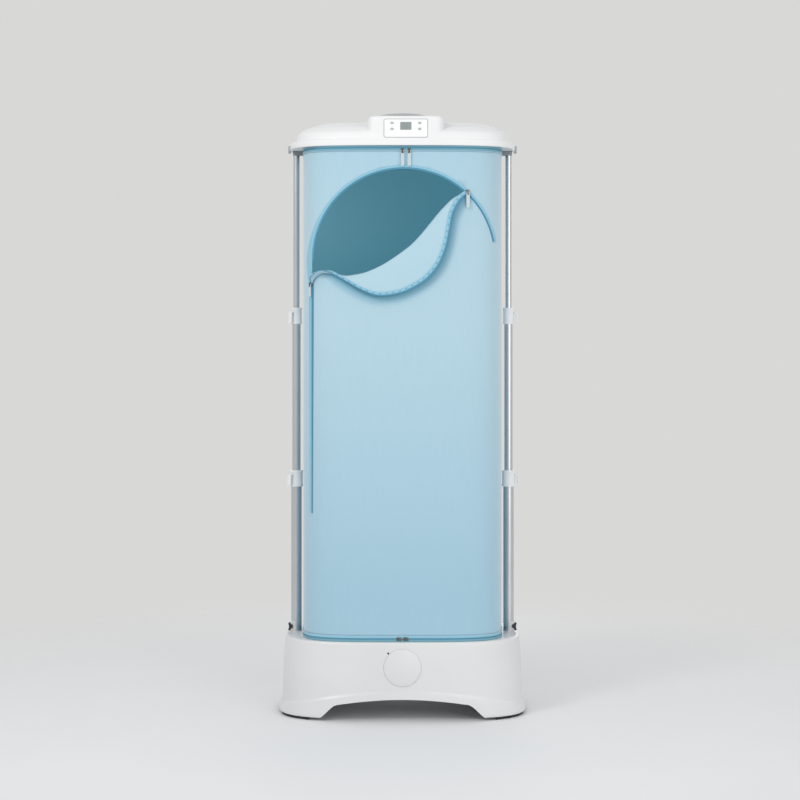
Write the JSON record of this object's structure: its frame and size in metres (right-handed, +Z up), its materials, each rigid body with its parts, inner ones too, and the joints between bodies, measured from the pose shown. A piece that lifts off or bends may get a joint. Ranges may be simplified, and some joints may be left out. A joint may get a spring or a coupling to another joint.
{
  "type": "electric drying rack",
  "caption": "Free-standing warm-air clothes dryer: moulded base and top on telescopic side masts, with a zipped fabric cover round a hanging rail.",
  "frame": {"origin": "on the floor, midway between the two masts and between the front and the rear of the base", "axes": "+Z up along the masts, -Y towards the front with the controls and the zipped door, +X to the right of someone facing it"},
  "size_m": [0.6808, 0.438, 1.6445],
  "materials": {
    "base_white": "satin moulded",
    "top_white": "satin moulded",
    "clamp_white": "satin",
    "panel_white": "smooth",
    "inner_grey": "matte",
    "vent_grey": "matte",
    "button_grey": "matte",
    "display_grey": "gloss",
    "socket_grey": "matte",
    "dark_plastic": "matte",
    "board_green": "matte",
    "sole_rubber": "matte",
    "tube_aluminium": "brushed anodised",
    "heater_metal": "plain",
    "motor_steel": "plain",
    "bolt_steel": "polished",
    "zip_metal": "polished",
    "pull_white": "smooth",
    "cover_blue": "fine woven",
    "flap_blue": "fine woven",
    "band_teal": "woven tape",
    "tape_blue": "zip tape"
  },
  "bodies": {
    "frame": {"base_shell": "base_white", "base_pan": "inner_grey", "feet": "sole_rubber", "badge": "base_white", "indicator": "dark_plastic", "outlet_grille": "inner_grey", "heater": "heater_metal", "fan_housing": "dark_plastic", "fan_motor": "motor_steel", "power_inlet": "dark_plastic", "base_sockets": "base_white", "left_lower_tube": "tube_aluminium", "right_lower_tube": "tube_aluminium", "left_lower_clamp": "clamp_white", "right_lower_clamp": "clamp_white", "bottom_band": "band_teal", "cover": "cover_blue", "door_flap": "flap_blue"},
    "fan": {"fan_impeller": "dark_plastic"},
    "left_base_bolt": {"left_base_bolt": "bolt_steel"},
    "right_base_bolt": {"right_base_bolt": "bolt_steel"},
    "left_lower_lever": {"left_lower_lever": "clamp_white"},
    "right_lower_lever": {"right_lower_lever": "clamp_white"},
    "left_middle": {"left_middle_tube": "tube_aluminium", "left_upper_clamp": "clamp_white"},
    "right_middle": {"right_middle_tube": "tube_aluminium", "right_upper_clamp": "clamp_white"},
    "left_upper_lever": {"left_upper_lever": "clamp_white"},
    "right_upper_lever": {"right_upper_lever": "clamp_white"},
    "top": {"left_upper_tube": "tube_aluminium", "right_upper_tube": "tube_aluminium", "top_shell": "top_white", "top_pan": "top_white", "top_vent": "vent_grey", "top_sockets": "socket_grey", "control_panel": "panel_white", "display": "display_grey", "control_board": "board_green", "hanging_rail": "tube_aluminium", "top_band": "band_teal"},
    "left_top_knob": {"left_top_knob": "vent_grey"},
    "right_top_knob": {"right_top_knob": "vent_grey"},
    "top_slider_left": {"top_slider_left": "zip_metal"},
    "top_pull_left": {"top_pull_left": "pull_white"},
    "top_slider_right": {"top_slider_right": "zip_metal"},
    "top_pull_right": {"top_pull_right": "pull_white"},
    "side_zip": {"side_tape": "tape_blue"},
    "side_slider": {"side_slider": "zip_metal"},
    "side_pull": {"side_pull": "pull_white"},
    "arch_zip": {"arch_tape": "tape_blue"},
    "arch_slider": {"arch_slider": "zip_metal"},
    "arch_pull": {"arch_pull": "pull_white"},
    "bottom_slider_left": {"bottom_slider_left": "zip_metal"},
    "bottom_slider_right": {"bottom_slider_right": "zip_metal"},
    "button_upper_left": {"button_upper_left": "button_grey"},
    "button_lower_left": {"button_lower_left": "button_grey"},
    "button_upper_right": {"button_upper_right": "button_grey"},
    "button_lower_right": {"button_lower_right": "button_grey"}
  },
  "joints": [
    {"name": "mast_slide", "type": "slide", "parent": "frame", "child": "top", "axis": [0, 0, 1], "range_m": [-0.8, 0], "deforming": ["cover", "door_flap", "side_tape", "arch_tape"]},
    {"name": "left_middle_slide", "type": "slide", "parent": "frame", "child": "left_middle", "axis": [0, 0, 1], "range_m": [-0.4, 0]},
    {"name": "right_middle_slide", "type": "slide", "parent": "frame", "child": "right_middle", "axis": [0, 0, 1], "range_m": [-0.4, 0]},
    {"name": "fan_spin", "type": "hinge", "parent": "frame", "child": "fan", "pos_m": [0, 0, 0.124], "axis": [0, 0, 1], "continuous": true},
    {"name": "left_base_bolt_turn", "type": "hinge", "parent": "frame", "child": "left_base_bolt", "pos_m": [-0.295, 0, 0.226], "axis": [-0.7071, -0.7071, 0], "continuous": true},
    {"name": "left_top_knob_turn", "type": "hinge", "parent": "top", "child": "left_top_knob", "pos_m": [-0.295, 0, 1.549], "axis": [-1, 0, 0], "continuous": true},
    {"name": "left_lower_lever_flip", "type": "hinge", "parent": "frame", "child": "left_lower_lever", "pos_m": [-0.30985, -0.01485, 0.6455], "axis": [-0.7071, 0.7071, 0], "range_deg": [0, 100]},
    {"name": "left_upper_lever_flip", "type": "hinge", "parent": "left_middle", "child": "left_upper_lever", "pos_m": [-0.30773, -0.01273, 1.0965], "axis": [-0.7071, 0.7071, 0], "range_deg": [0, 100]},
    {"name": "right_base_bolt_turn", "type": "hinge", "parent": "frame", "child": "right_base_bolt", "pos_m": [0.295, 0, 0.226], "axis": [0.7071, -0.7071, 0], "continuous": true},
    {"name": "right_top_knob_turn", "type": "hinge", "parent": "top", "child": "right_top_knob", "pos_m": [0.295, 0, 1.549], "axis": [1, 0, 0], "continuous": true},
    {"name": "right_lower_lever_flip", "type": "hinge", "parent": "frame", "child": "right_lower_lever", "pos_m": [0.316, 0, 0.6455], "axis": [0, -1, 0], "range_deg": [0, 100]},
    {"name": "right_upper_lever_flip", "type": "hinge", "parent": "right_middle", "child": "right_upper_lever", "pos_m": [0.313, 0, 1.0965], "axis": [0, -1, 0], "range_deg": [0, 100]},
    {"name": "button_upper_left_press", "type": "slide", "parent": "top", "child": "button_upper_left", "axis": [0, 1, 0], "range_m": [0, 0.0008], "stiffness_N_per_m": 600},
    {"name": "button_lower_left_press", "type": "slide", "parent": "top", "child": "button_lower_left", "axis": [0, 1, 0], "range_m": [0, 0.0008], "stiffness_N_per_m": 600},
    {"name": "button_upper_right_press", "type": "slide", "parent": "top", "child": "button_upper_right", "axis": [0, 1, 0], "range_m": [0, 0.0008], "stiffness_N_per_m": 600},
    {"name": "button_lower_right_press", "type": "slide", "parent": "top", "child": "button_lower_right", "axis": [0, 1, 0], "range_m": [0, 0.0008], "stiffness_N_per_m": 600},
    {"name": "top_slider_left_travel", "type": "slide", "parent": "top", "child": "top_slider_left", "axis": [1, 0, 0], "range_m": [-0.15, 0]},
    {"name": "top_pull_left_swing", "type": "hinge", "parent": "top_slider_left", "child": "top_pull_left", "pos_m": [0, -0.2098, 1.529], "axis": [-1, 0, 0], "range_deg": [0, 140]},
    {"name": "bottom_slider_left_travel", "type": "slide", "parent": "frame", "child": "bottom_slider_left", "axis": [1, 0, 0], "range_m": [-0.15, 0]},
    {"name": "top_slider_right_travel", "type": "slide", "parent": "top", "child": "top_slider_right", "axis": [1, 0, 0], "range_m": [0, 0.15]},
    {"name": "top_pull_right_swing", "type": "hinge", "parent": "top_slider_right", "child": "top_pull_right", "pos_m": [0.018, -0.2098, 1.529], "axis": [-1, 0, 0], "range_deg": [0, 140]},
    {"name": "bottom_slider_right_travel", "type": "slide", "parent": "frame", "child": "bottom_slider_right", "axis": [1, 0, 0], "range_m": [0, 0.15]},
    {"name": "side_zip_ride", "type": "slide", "parent": "frame", "child": "side_zip", "axis": [0, 0, 1], "range_m": [-0.57552, 0]},
    {"name": "side_slider_travel", "type": "slide", "parent": "side_zip", "child": "side_slider", "axis": [0, 0, 1], "range_m": [-0.55, 0.05]},
    {"name": "side_pull_swing", "type": "hinge", "parent": "side_slider", "child": "side_pull", "pos_m": [-0.25038, -0.16551, 1.171], "axis": [-0.6516, 0.7585, 0], "range_deg": [0, 140]},
    {"name": "arch_zip_ride", "type": "slide", "parent": "frame", "child": "arch_zip", "axis": [0, 0, 1], "range_m": [-0.72368, 0]},
    {"name": "arch_slider_travel", "type": "hinge", "parent": "arch_zip", "child": "arch_slider", "pos_m": [0.004, -0.19964, 1.235], "axis": [0, -1, 0], "range_deg": [-36, 130]},
    {"name": "arch_pull_swing", "type": "hinge", "parent": "arch_slider", "child": "arch_pull", "pos_m": [0.17575, -0.20406, 1.41784], "axis": [-0.9818, -0.19, 0], "range_deg": [0, 140]}
  ],
  "couplings": [
    {"joint": "left_middle_slide", "follows": "mast_slide", "ratio": 0.5},
    {"joint": "right_middle_slide", "follows": "mast_slide", "ratio": 0.5},
    {"joint": "side_zip_ride", "follows": "mast_slide", "ratio": 0.7194},
    {"joint": "arch_zip_ride", "follows": "mast_slide", "ratio": 0.9046}
  ]
}
